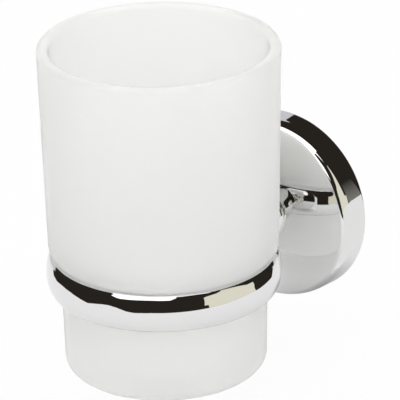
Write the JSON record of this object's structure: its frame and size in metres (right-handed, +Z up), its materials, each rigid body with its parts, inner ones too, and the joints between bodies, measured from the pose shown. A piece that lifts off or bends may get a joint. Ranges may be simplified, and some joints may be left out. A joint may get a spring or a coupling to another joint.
{
  "type": "wall-mounted toothbrush holder",
  "caption": "Frosted glass tumbler with a shoulder, hung in a bulged chrome ring on a waisted neck and a round wall rose with concealed fixings.",
  "frame": {"origin": "middle of the rose on the wall plane", "axes": "+Y into the wall, +Z up along the tumbler's axis, +X to the right of someone who faces the wall"},
  "size_m": [0.0676, 0.0938, 0.0967],
  "materials": {
    "frosted_glass": "satin frosted glass, milky, smooth to the touch",
    "polished_chrome": "mirror polished chrome plate",
    "cast_zinc": "die cast zinc, dull as cast",
    "plated_steel": "bright zinc plated steel"
  },
  "bodies": {
    "holder": {"rose": "polished_chrome", "neck": "polished_chrome", "holder_ring": "polished_chrome", "wall_bracket": "cast_zinc", "neck_screw": "plated_steel", "neck_washer": "plated_steel", "grub_screw": "plated_steel"},
    "tumbler": {"tumbler": "frosted_glass"}
  },
  "joints": [
    {"name": "tumbler_lift", "type": "slide", "parent": "holder", "child": "tumbler", "axis": [0, 0, 1], "range_m": [0, 0.06]}
  ]
}
